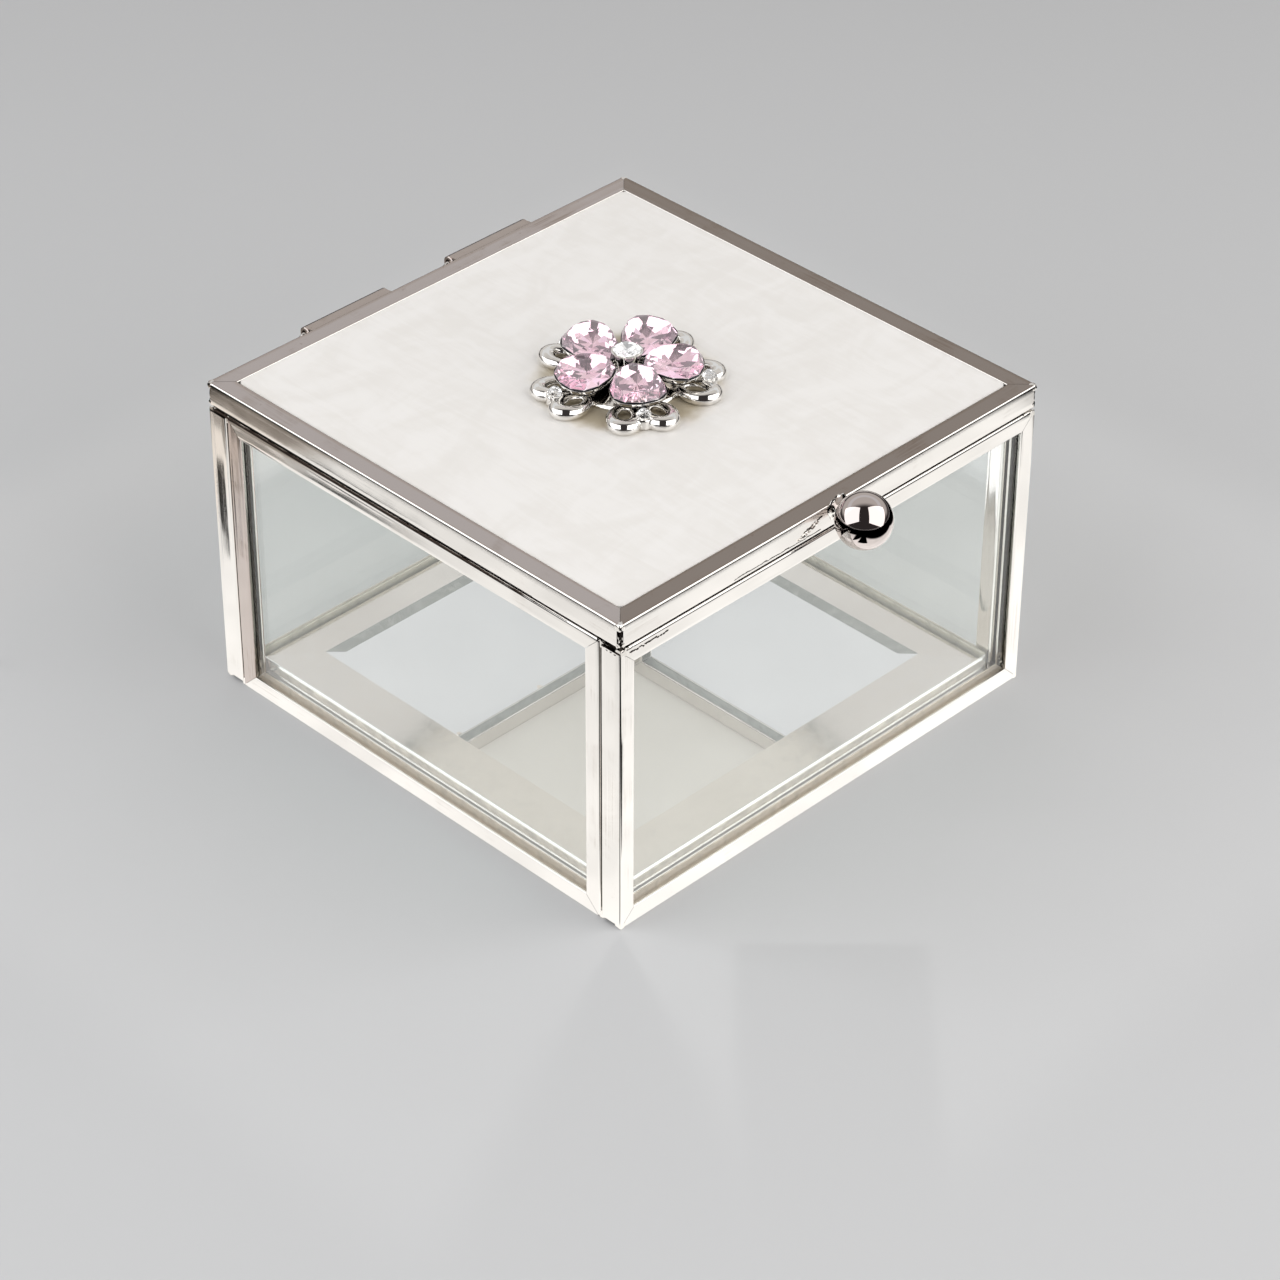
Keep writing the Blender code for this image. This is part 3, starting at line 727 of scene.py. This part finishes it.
def hinge_fillet(shape, side):
    """Solder that fills the valley between the lid's edge and a hinge tube, nearly flush on top."""
    low, high = mm_box(f"{side}_hinge_tube")
    middle = (low + high) / 2
    count, margin = 30, 0.25
    rings = []
    for k in range(count + 1):
        x = low.x + margin + (high.x - low.x - 2 * margin) * k / count
        lump = 0.10 * noise.noise(Vector((x * 0.8, middle.x, 2.0)))
        outline = [(-1.95, 1.50), (-1.3, 1.46 + lump), (-0.6, 1.38 + lump), (0.15, 1.30), (0.3, 0.9)]
        outline += [(-0.4, 0.0), (-1.0 + lump, -0.8 + lump), (-1.65, -1.5 + lump)]
        rings.append([Vector((x, middle.y + y, middle.z + z)) for y, z in outline])
    bridge(shape, rings)


def painted_seam_shadow(shape, fold, middle, spread, start, end, seed):
    """A ragged dark line along Y that hugs a fold, a painted shadow; fold is its centre, middle and spread
    are degrees.
    """
    count, proud, sunk = 110, 0.02, 0.1
    rings = []
    for k in range(count + 1):
        y = start + (end - start) * k / count
        drift = noise.noise(Vector((y * 0.4, seed, 1.0)))
        half = spread * min(1.0, 0.25 + 2.5 * k / count) * (1 + 0.5 * drift)
        outer = arc(fold, FOLD_RADIUS + proud, middle - half, middle + half, 4)
        inner = arc(fold, FOLD_RADIUS - sunk, middle + half, middle - half, 4)
        rings.append([Vector((max(x, fold[0] - FOLD_RADIUS), y, z)) for x, z in outer + inner])
    bridge(shape, rings)


def flux_and_painted_shadow_marks():
    """Thin dark marks beside the solder: painted shadow lines along the seams, and dark spots under the
    seam, on the corner and next to the knob.
    """
    low, high = mm_box("lid_rail_front", "lid_rail_left")
    seam = mm_box("front_top_rail")[1].z
    knob_edge = mm_box("knob_ball")[0].x
    reach = -low.y
    limits = (-reach, -reach - 0.1, 0.0), (reach, reach, high.z)
    marks = {"lid": bmesh.new(), "box": bmesh.new()}

    def row(body, count, start, step, stray, radii, swell, drawn, seed):
        """Marks a step apart, moved by stray and grown by swell times a drift drawn from noise."""
        for k in range(count):
            drift = noise.noise(Vector((k * drawn[0], drawn[1], drawn[2])))
            place = Vector(start) + Vector(step) * k + Vector(stray) * drift
            size = Vector(radii) + Vector(swell) * drift
            blob(marks[body], place, size, seed * k, 0.6, *limits)

    # Painted shadow: dark lines hugging the seam's fold on the box and the lid's lower fold.
    fold = -reach + FOLD_RADIUS
    painted_seam_shadow(marks["box"], (fold, seam - FOLD_RADIUS), 138, 26, -38.0, 48.5, 2.2)
    painted_seam_shadow(marks["lid"], (fold, low.z + FOLD_RADIUS), 192, 12, -30.0, 48.5, 6.4)
    # Under the seam, along the front and round the corner
    row("box", 13, (-reach + 2.6, -reach + 0.05, seam - 1.15), (0.66, 0, 0), (0, 0, 0.35),
        radii=(0.42, 0.09, 0.2), swell=(0.3, 0, 0), drawn=(1.37, 5.1, 0.4), seed=3.3)
    row("box", 4, (-reach + 0.04, -reach + 1.2, seam - 0.9), (0, 0.9, 0), (0, 0, 0.5),
        radii=(0.07, 0.3, 0.14), swell=(0, 0, 0), drawn=(1.91, 8.1, 1.4), seed=5.7)
    # Up the corner of the lid
    row("lid", 9, (-reach + 0.36, -reach + 0.12, low.z + 0.3), (0, 0, 0.42), (0.12, 0, 0),
        radii=(0.14, 0.16, 0.36), swell=(0, 0, 0), drawn=(2.3, 2.1, 7.4), seed=4.1)
    # Low and high beside the knob
    row("lid", 24, (knob_edge + 0.6, -reach + 0.04, low.z + 0.75), (-0.85, 0, 0), (0, 0, 0.15),
        radii=(0.62, 0.07, 0.1), swell=(0, 0, 0.05), drawn=(1.7, 3.3, 6.6), seed=2.9)
    row("lid", 7, (knob_edge + 1.0, -reach + 0.05, high.z - 1.3), (-0.6, 0, -0.22), (0, 0, 0.3),
        radii=(0.5, 0.1, 0.2), swell=(0, 0, 0), drawn=(1.3, 9.3, 1.6), seed=6.1)
    for body, shape in marks.items():
        finish(f"{body}_flux", shape, ["flux_and_painted_shadow"], body)


def solder():
    """Hand-laid solder at the corners, the hinges and beside the knob."""
    low, high = mm_box(*(f"lid_rail_{side}" for side in SIDES))
    lid_shape = bmesh.new()
    inset = 0.66
    for i, (sx, sy) in enumerate(CORNERS):
        seed = 3.1 + 5.3 * i
        for height, wide, tall in ((-1.6, 0.74, 0.85), (0.2, 0.60, 2.0), (1.65, 0.86, 0.78)):
            place = (sx * (high.x - inset), sy * (high.y - inset), (low.z + high.z) / 2 + height)
            blob(lid_shape, place, (wide, wide, tall), seed + height, 0.26, low, high)
    knob_edge = mm_box("knob_ball")[0].x
    for k in range(5):
        place = (knob_edge - 0.2 - 0.9 * k, low.y + 0.12, low.z + 2.5 - 0.35 * k)
        blob(lid_shape, place, (0.9, 0.32, 0.55 - 0.07 * k), 9.3 * k, 0.5)
    finish("lid_solder", lid_shape, ["solder"], "lid")
    fillets = bmesh.new()
    for side in ("left", "right"):
        hinge_fillet(fillets, side)
    # The hinge solder gets the darker copy of the nickel: painted shade.
    finish("hinge_solder", fillets, ["nickel_painted_shade"], "lid")

    base_low, base_high = mm_box("front_bottom_rail", "back_top_rail")
    web = mm_box("front_bottom_rail")[1].y - base_low.y
    box_shape = bmesh.new()
    for i, (sx, sy) in enumerate(CORNERS):
        seed = 31.7 + 4.9 * i
        for z, tall in ((base_high.z - 0.62, 0.95), (base_low.z + 0.6, 0.75)):
            corner = (sx * (base_high.x - 0.6), sy * (base_high.y - 0.6), z)
            groove = (sx * (base_high.x - 0.35), sy * (base_high.y - web - 0.15), z)
            blob(box_shape, corner, (0.95, 0.95, tall), seed + z, 0.4, base_low, base_high)
            blob(box_shape, groove, (0.5, 0.85, tall * 1.1), seed - z, 0.4, base_low, base_high)
            for k in range(3):
                along = (sx * (base_high.x - 1.7 - 1.1 * k), sy * (base_high.y - 0.3), z + 0.2)
                blob(box_shape, along, (0.8, 0.3, 0.5 - 0.1 * k), seed + 3.1 * k, 0.5, base_low, base_high)
    for side in ("left", "right"):
        wire_low, wire_high = mm_box(f"{side}_hinge_wire")
        for k, x in enumerate((wire_low.x + WIRE_RADIUS, wire_high.x - WIRE_RADIUS)):
            place = (x, base_high.y + 0.25, wire_low.z + 1.1)
            blob(box_shape, place, (1.2, 0.6, 1.2), k * 7.7 + wire_low.x, 0.3)
    finish("box_solder", box_shape, ["solder"], "box")


# ---------------------------------------------------------------- flower ornament


def flower_centre():
    low, high = mm_box("centre_stone")
    return Vector(((low.x + high.x) / 2, (low.y + high.y) / 2, 0))


def petal_turns():
    return [FLOWER_TURN + 2 * math.pi * i / PETALS for i in range(PETALS)]


def around(turn, radius, height):
    """Local frame whose X points away from the flower's middle at the given turn."""
    spin = Matrix.Rotation(turn, 4, "Z")
    return Matrix.Translation(flower_centre()) @ spin @ Matrix.Translation((radius, 0, height))


def petal_point(angle, scale, height, grow=0.0):
    """A rounded drop, narrower towards the flower's middle, at -X."""
    narrow = 1 - 0.2 * (1 - math.cos(angle)) / 2
    x = (PETAL_LENGTH / 2 * scale + grow) * math.cos(angle) + scale * math.sin(angle) ** 2
    y = (PETAL_WIDTH / 2 * scale + grow) * math.sin(angle) * narrow
    return Vector((x, y, height))


def facet_rings(shape, lower, upper):
    """Triangles between a ring and one that is turned by half a step."""
    count = len(lower)
    for i in range(count):
        j = (i + 1) % count
        shape.faces.new((lower[i], lower[j], upper[i]))
        shape.faces.new((lower[j], upper[j], upper[i]))


def cut_stone(point_at, place, count, crown, depth, girdle):
    """A faceted stone: crown rows of (scale, height), an upright girdle and a foiled back.

    A last row of no size ends the crown in a point. The crown has material 0, the back 1 and the
    girdle 2.
    """
    shape = bmesh.new()

    def ring(scale, height, offset):
        angles = [2 * math.pi * (i + offset) / count for i in range(count)]
        return [shape.verts.new(place @ point_at(a, scale, height)) for a in angles]

    def fan(corners, height, index):
        tip = shape.verts.new(place @ point_at(0, 0, height))
        for corner, following in zip(corners, corners[1:] + corners[:1]):
            shape.faces.new((tip, corner, following)).material_index = index

    edge = ring(1.0, 0.0, 0.0)
    fan(edge, -depth, 1)
    top = ring(1.0, girdle, 0.0)
    for i in range(count):
        j = (i + 1) % count
        shape.faces.new((edge[i], edge[j], top[j], top[i])).material_index = 2
    offset = 0.5
    below = top
    for row, (scale, height) in enumerate(crown):
        if scale == 0:
            fan(below, height, 0)
            return shape
        above = ring(scale, height, offset)
        if row % 2 == 0:
            facet_rings(shape, below, above)
        else:
            facet_rings(shape, below, above[-1:] + above[:-1])
        below = above
        offset += 0.5 if row % 2 == 0 else -0.5
    shape.faces.new(below)
    return shape


def petals():
    sides = 48
    angles = [2 * math.pi * k / sides for k in range(sides)]
    for i, turn in enumerate(petal_turns()):
        cup_node, stone_node = f"petal_cup_{i + 1}", f"petal_crystal_{i + 1}"
        cup_low, cup_high = mm_box(cup_node)
        foot, rim = cup_low.z, cup_high.z
        lean = Matrix.Rotation(math.radians(PETAL_LEANS[i]), 4, "Y")
        seat = around(turn, PETAL_REACH, rim) @ lean

        bowl = [(-1.2, foot), (-0.6, foot + 0.2), (-0.2, foot + 0.55), (0.0, rim - 0.5), (0.08, rim - 0.3)]
        lip = [(0.04, rim - 0.2), (0.03, rim), (-0.2, rim + 0.03), (-0.6, foot + 0.06)]
        cup = bmesh.new()
        rings = [[seat @ petal_point(a, 1.0, z - rim, grow) for a in angles] for grow, z in bowl + lip]
        faces = bridge(cup, rings)
        for face in faces[len(bowl) * sides : (len(bowl) + len(lip) - 1) * sides]:
            face.material_index = 1
        finish(f"{cup_node}_silver", cup, ["silver", "lacquer"], "lid", [cup_node])

        tall = mm_box(stone_node)[1].z + 0.45 - rim
        crown = [(0.82, tall * 0.62), (0.0, tall)]
        girdle_place = seat @ Matrix.Translation((0, 0, 0.04))
        stone = cut_stone(petal_point, girdle_place, STONE_SIDES, crown, depth=1.35, girdle=0.10)
        looks = ["pink", "foil", "foil"]
        finish(f"{stone_node}_cut", stone, looks, "lid", [stone_node], False)


def round_point(radius):
    def point_at(angle, scale, height):
        return Vector((radius * scale * math.cos(angle), radius * scale * math.sin(angle), height))

    return point_at


def centre_setting():
    low, high = mm_box("centre_collet")
    wide = (high.x - low.x) / 2
    tall = high.z - low.z
    profile = [(1.7, 0), (1.9, tall * 0.3), (wide * 0.9, tall * 0.75), (wide, tall)]
    profile += [(wide - 0.15, tall + 0.05), (wide - 0.32, tall), (wide - 0.4, tall - 0.8)]
    collet = bmesh.new()
    turned(collet, profile, around(0, 0, low.z))
    finish("centre_collet_silver", collet, ["silver"], "lid", ["centre_collet"])

    stone_high = mm_box("centre_stone")[1].z
    girdle = high.z + 0.02
    crown = [(0.85, (stone_high - girdle) * 0.6), (0.62, stone_high - girdle)]
    stone = cut_stone(round_point(wide - 0.30), around(0, 0, girdle), 10, crown, depth=0.75, girdle=0.12)
    looks = ["clear", "bright_foil_painted_glow", "silver"]
    finish("centre_stone_cut", stone, looks, "lid", ["centre_stone"], False)


def accent_stones():
    for i, turn in enumerate(petal_turns()):
        node = f"accent_stone_{i + 1}"
        low, high = mm_box(node)
        centre = (low + high) / 2 - flower_centre()
        away = math.hypot(centre.x, centre.y)
        tall = high.z - low.z
        crown = [(0.80, tall * 0.9), (0.45, tall + 0.35)]
        place = around(turn, away, low.z + 0.1)
        stone = cut_stone(round_point(1.3), place, 8, crown, depth=0.35, girdle=0.1)
        looks = ["clear", "bright_foil_painted_glow", "silver"]
        finish(f"{node}_cut", stone, looks, "lid", [node], False)


def lace_loop(shape, place):
    """A thick crescent that thins towards the flower's middle, domed like a cast leaf."""
    steps = 40
    length, width = 5.8, 4.2
    angles = [2 * math.pi * k / steps for k in range(steps)]
    route = [place @ Vector((length / 2 * math.cos(a), width / 2 * math.sin(a), 0)) for a in angles]

    def section_at(k):
        outward = (1 + math.cos(angles[k])) / 2
        half = 0.70 + 0.86 * outward ** 0.8
        rise = 0.85 + 0.50 * outward
        return [(half * s, rise * r) for s, r in arc((0, 0), 1.0, 0, 337.5, 15)]

    sweep_round(shape, route, section_at)


def filigree():
    """The cast lace base, its parts melted into one skin."""
    low, high = mm_box("filigree_base")
    shape = bmesh.new()
    hub = [(9.6, low.z), (9.9, low.z + 0.5), (9.4, low.z + 1.0), (6.0, low.z + 1.9), (3.0, high.z)]
    turned(shape, hub, around(0, 0, 0), sides=60)
    seat = [(1.6, low.z + 0.2), (1.5, low.z + 1.3), (1.45, low.z + 1.9), (1.15, low.z + 2.1)]
    for i, turn in enumerate(petal_turns()):
        for side in (-1, 1):
            lace_loop(shape, around(turn + side * LOBE_SPREAD, LOBE_REACH, low.z + 1.0))
        turned(shape, seat, around(turn, ACCENT_REACH, 0), sides=24)
        beads = around(turn, ACCENT_REACH, low.z + 2.25)
        for k, (across, along) in enumerate(arc((0, 0), 1.2, 45, 315, 3)):
            blob(shape, beads @ Vector((across, along, 0)), (0.34, 0.34, 0.42), k + i, 0.1)
        arm = around(turn, 10.6, low.z + 0.9).translation
        blob(shape, arm, (1.9, 1.9, 0.8), i * 1.3, 0.1)
    raw = finish("filigree_parts", shape, ["silver"], "lid")
    remesh = raw.modifiers.new("melt", "REMESH")
    remesh.mode = "VOXEL"
    remesh.voxel_size = 0.00016
    smooth = raw.modifiers.new("soften", "SMOOTH")
    smooth.factor = 0.5
    smooth.iterations = 3
    view = bpy.context.evaluated_depsgraph_get()
    mesh = bpy.data.meshes.new_from_object(raw.evaluated_get(view))
    bpy.data.objects.remove(raw)
    mesh.materials.clear()
    mesh.materials.append(LOOKS["silver"])
    mesh.shade_smooth()
    cast = bpy.data.objects.new("filigree_cast", mesh)
    bpy.context.scene.collection.objects.link(cast)
    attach(cast, "lid")
    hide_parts("filigree_base")


# ---------------------------------------------------------------- studio


def softbox(name, direction, size, power, tint):
    """A rectangular lamp that faces the box from a direction, its height laid along a slope."""
    distance, slope, box_middle = 0.8, Vector((0.61, 0.61, 0.72)), Vector((0, 0, 0.03))
    data = bpy.data.lights.new(name, "AREA")
    data.shape = "RECTANGLE"
    data.size, data.size_y = size
    data.energy = power
    data.color = tint
    lamp = bpy.data.objects.new(name, data)
    back = Vector(direction).normalized()
    right = slope.cross(back).normalized()
    lamp.location = back * distance + box_middle
    lamp.rotation_mode = "QUATERNION"
    lamp.rotation_quaternion = Matrix((right, back.cross(right), back)).transposed().to_quaternion()
    bpy.context.scene.collection.objects.link(lamp)


def plane(name, half, height, look):
    mesh = bpy.data.meshes.new(name)
    mesh.from_pydata([(sx * half, sy * half, height) for sx, sy in CORNERS], [], [(0, 1, 2, 3)])
    mesh.materials.append(look)
    made = bpy.data.objects.new(name, mesh)
    bpy.context.scene.collection.objects.link(made)
    return made


def card_look():
    """A white card that lights only what shines, brightest by the box, with a few dark marks.

    Upright faces see only its part nearer than the diagonal through the near corner; past that
    lie the dark slots that draw a line on the near edge of the box and a bar on the knob.
    """
    made, n = new_material("low_card")
    place = n.stretch(n.object_coordinates(), (1 / MM, 1 / MM, 1.0))
    split = n.add("ShaderNodeSeparateXYZ", {"Vector": place})
    x, y = split.outputs[0], split.outputs[1]
    half = 50.0  # of the box
    out = n.math("SUBTRACT", n.math("MAXIMUM", n.math("ABSOLUTE", x), n.math("ABSOLUTE", y)), half)
    across = n.math("SUBTRACT", x, y)
    beyond = n.math("SUBTRACT", -2 * half, n.math("ADD", x, y))

    near = n.ramp(out, 4.0, 62.0, 1.42, 1.20)
    fade = n.ramp(out, 64.0, 86.0, 1.0, 0.0)
    side = n.ramp(across, -12.0, 12.0, 0.90, 1.0)
    soft = n.ramp(n.noise(place, 0.05, 2.0), 0.3, 0.7, 0.88, 1.0)

    past = n.ramp(beyond, 0.5, 3.0)
    aslant = n.math("DIVIDE", n.math("ABSOLUTE", across), n.math("MAXIMUM", beyond, 0.5))
    corner_slot = n.math("MULTIPLY", n.ramp(aslant, 0.25, 0.5, 1.0, 0.0), past)
    knob_off = n.math("ABSOLUTE", n.math("SUBTRACT", across, 49.0))
    knob_slot = n.math("MULTIPLY", n.ramp(knob_off, 20.0, 25.0, 1.0, 0.0), n.ramp(beyond, 3.0, 6.0))

    # Streaks to the left of the box: (place in x, half width, start and end in y)
    frayed = n.noise(n.stretch(place, (0.9, 0.05, 1.0)), 1.0, 4.0, 0.6)
    ragged = n.math("MULTIPLY_ADD", frayed, 3.0, n.math("ADD", x, -1.5))
    streaks = ((-102.6, 0.8, 45.0, 170.0), (-104.4, 1.5, 52.0, 98.0), (-108.2, 1.3, 80.0, 170.0))
    strip = 0.0
    for line, width, start, end in streaks:
        off = n.math("ABSOLUTE", n.math("SUBTRACT", ragged, line))
        lasts = n.math("MULTIPLY", n.ramp(y, start, start + 25.0), n.ramp(y, end - 12.0, end, 1.0, 0.0))
        streak = n.math("MULTIPLY", n.ramp(off, width * 0.6, width, 0.95, 0.0), lasts)
        strip = n.math("MAXIMUM", strip, streak)
    gloom = n.math("MULTIPLY", n.ramp(x, -107.0, -102.5, 0.62, 0.35), n.ramp(y, 86.0, 104.0))
    strip = n.math("MAXIMUM", strip, n.math("MULTIPLY", gloom, n.ramp(x, -101.0, -99.5, 1.0, 0.0)))

    # A wedge that the far left post reflects: the level on the post where a point of the card
    # shows, and its place across the post, follow from how far the point lies from the left wall
    lift, slant = -1.082, 1.278
    level = n.math("MULTIPLY", n.math("ADD", x, half), lift)
    beside = n.math("MULTIPLY_ADD", x, slant, n.math("ADD", y, slant * half))
    torn = n.math("MULTIPLY_ADD", frayed, 2.0, n.math("SUBTRACT", beside, 46.2))
    narrow = n.math("SUBTRACT", torn, n.ramp(level, 24.0, 40.0, 1.6, 7.6))
    wedge = n.math("MULTIPLY", n.ramp(narrow, -0.3, 0.3, 0.97, 0.0), n.ramp(beside, 45.2, 45.6))
    top = n.ramp(n.math("MULTIPLY_ADD", frayed, 3.0, level), 48.0, 49.0, 1.0, 0.0)
    wedge = n.math("MULTIPLY", n.math("MULTIPLY", wedge, top), n.ramp(level, 25.0, 28.0))
    dark = n.math("MAXIMUM", n.math("MAXIMUM", strip, wedge), n.math("MAXIMUM", corner_slot, knob_slot))

    strength = n.math("MULTIPLY", n.math("MULTIPLY", near, fade), n.math("MULTIPLY", soft, side))
    strength = n.math("MULTIPLY", strength, n.math("SUBTRACT", 1.0, dark))
    warm = n.blend(n.math("MULTIPLY", gloom, 1.4), colour(1.0, 0.99, 0.97), colour(1.0, 0.86, 0.73))
    glow = n.add("ShaderNodeEmission", {"Color": warm, "Strength": strength}).outputs[0]
    unseen = n.add("ShaderNodeBsdfTransparent").outputs[0]
    bounced = n.math("GREATER_THAN", n.add("ShaderNodeLightPath").outputs["Glossy Depth"], 0.5)
    n.output(n.add("ShaderNodeMixShader", {0: bounced, 1: unseen, 2: glow}).outputs[0])
    return made


def studio():
    """A plain floor, the card just above it, a sky that is pale behind the box, and two lamps."""
    just_above = 0.00005
    plane("studio_floor", 4.0, 0.0, floor_look())
    card = plane("reflector_card", 0.9, just_above, card_look())
    card.visible_camera = False
    card.visible_diffuse = False
    card.visible_shadow = False

    world = bpy.data.worlds.new("studio_world")
    bpy.context.scene.world = world
    world.use_nodes = True
    n = Nodes(world.node_tree)
    direction = n.add("ShaderNodeTexCoord").outputs["Generated"]
    up = n.add("ShaderNodeSeparateXYZ", {"Vector": direction}).outputs[2]
    away = n.add("ShaderNodeVectorMath", {0: direction, 1: (0.7, 0.7, 0.0)}, operation="DOT_PRODUCT")
    behind = n.ramp(away.outputs["Value"], -0.05, 0.35)
    lit = n.math("MULTIPLY", behind, n.ramp(up, 0.05, 0.25))
    band = n.ramp(n.math("ABSOLUTE", n.math("SUBTRACT", up, 0.59)), 0.075, 0.11, 1.0, 0.0)
    pale = n.blend(band, colour(0.66, 0.635, 0.61), colour(0.76, 0.77, 0.785))
    sky = n.blend(lit, colour(0.04, 0.035, 0.035), pale)
    shade = n.add("ShaderNodeBackground", {"Color": sky, "Strength": 1.0}).outputs[0]
    n.output(shade, "ShaderNodeOutputWorld")

    softbox("left_box", (-0.742, 0.318, 0.60), (0.95, 0.90), 4.7, (0.98, 0.99, 1.0))
    softbox("right_box", (0.283, -0.764, 0.57), (0.96, 1.0), 5.6, (1.0, 0.99, 0.975))


def camera():
    """The view along which the box shows its front and left walls and the top of its lid."""
    azimuth, elevation, roll = math.radians(-45.066), math.radians(36.191), math.radians(0.228)
    distance = 0.6899
    target = Vector((-0.0201, -0.0246, 0.0309))
    data = bpy.data.cameras.new("camera")
    data.sensor_width = 36.0
    data.lens = 115.2
    data.clip_start = 0.01
    made = bpy.data.objects.new("camera", data)
    back = Vector((
        math.sin(azimuth) * math.cos(elevation),
        -math.cos(azimuth) * math.cos(elevation),
        math.sin(elevation),
    ))
    made.location = target + back * distance
    made.rotation_mode = "QUATERNION"
    facing = (-back).to_track_quat("-Z", "Y").to_matrix() @ Matrix.Rotation(roll, 3, "Z")
    made.rotation_quaternion = facing.to_quaternion()
    bpy.context.scene.collection.objects.link(made)
    bpy.context.scene.camera = made


# ---------------------------------------------------------------- assembly


bpy.context.scene.view_settings.view_transform = "Standard"
filigree_low, filigree_high = mm_box("filigree_base")
flower_place = flower_centre() + Vector((0, 0, filigree_low.z))
LOOKS["enamel"] = enamel_look(flower_place * MM, (filigree_high.x - filigree_low.x) / 2 * MM)
camera()
studio()
walls()
floor_frame()
mirror_floor()
lid()
knob()
for hinge_side in ("left", "right"):
    hinge_tube(hinge_side)
    hinge_wire(hinge_side)
solder()
flux_and_painted_shadow_marks()
filigree()
petals()
centre_setting()
accent_stones()
